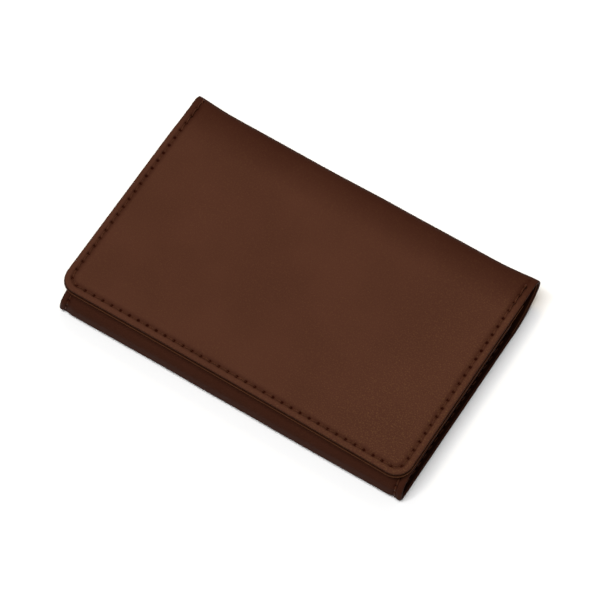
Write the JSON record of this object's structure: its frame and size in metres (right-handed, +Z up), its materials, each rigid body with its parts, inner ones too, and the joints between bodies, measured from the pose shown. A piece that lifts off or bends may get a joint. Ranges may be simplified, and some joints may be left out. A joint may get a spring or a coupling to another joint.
{
  "type": "business card case",
  "caption": "Slim flap case in smooth dark brown leather for business cards, with a gusseted pocket, a stitched flap and a rounded spine.",
  "frame": {"origin": "bottom centre of the closed case, on the outer face of its back", "axes": "+X along the long side, to the right seen from the front fold; +Y from the front fold to the spine; +Z up through the flap"},
  "size_m": [0.11, 0.0734, 0.0138],
  "materials": {
    "outer_leather": "smooth dark brown leather with a soft sheen",
    "lining_leather": "matt dark brown lining leather",
    "gusset_leather": "thin soft dark brown leather",
    "thread": "waxed dark brown thread",
    "board": "plain grey-brown board"
  },
  "bodies": {
    "case_body": {"outer_back": "outer_leather", "outer_front_fold": "outer_leather", "back_lining": "lining_leather", "front_fold_lining": "lining_leather", "back_stiffener": "board", "left_gusset_back_leaf": "gusset_leather", "right_gusset_back_leaf": "gusset_leather", "left_back_seam_stitches": "thread", "right_back_seam_stitches": "thread", "left_fold_seam_stitches": "thread", "right_fold_seam_stitches": "thread"},
    "front_panel": {"outer_front": "outer_leather", "front_lining": "lining_leather", "mouth_stitches": "thread", "left_gusset_front_leaf": "gusset_leather", "right_gusset_front_leaf": "gusset_leather", "left_front_seam_stitches": "thread", "right_front_seam_stitches": "thread"},
    "spine": {"outer_spine": "outer_leather", "spine_lining": "lining_leather"},
    "flap": {"outer_flap": "outer_leather", "flap_lining": "lining_leather", "flap_stiffener": "board", "flap_pocket": "lining_leather", "flap_stitches": "thread"}
  },
  "joints": [
    {"name": "spine_fold", "type": "hinge", "parent": "case_body", "child": "spine", "pos_m": [0, 0.03099, 0.00183], "axis": [-1, 0, 0], "range_deg": [0, 60]},
    {"name": "flap_fold", "type": "hinge", "parent": "spine", "child": "flap", "pos_m": [0, 0.03614, 0.01156], "axis": [-1, 0, 0], "range_deg": [0, 120]},
    {"name": "pocket_spread", "type": "hinge", "parent": "case_body", "child": "front_panel", "pos_m": [0, -0.03135, 0.01075], "axis": [1, 0, 0], "range_deg": [0, 8]}
  ],
  "couplings": [
    {"joint": "spine_fold", "follows": "flap_fold", "ratio": 0.5},
    {"joint": "pocket_spread", "follows": "flap_fold", "ratio": 0.066667}
  ]
}
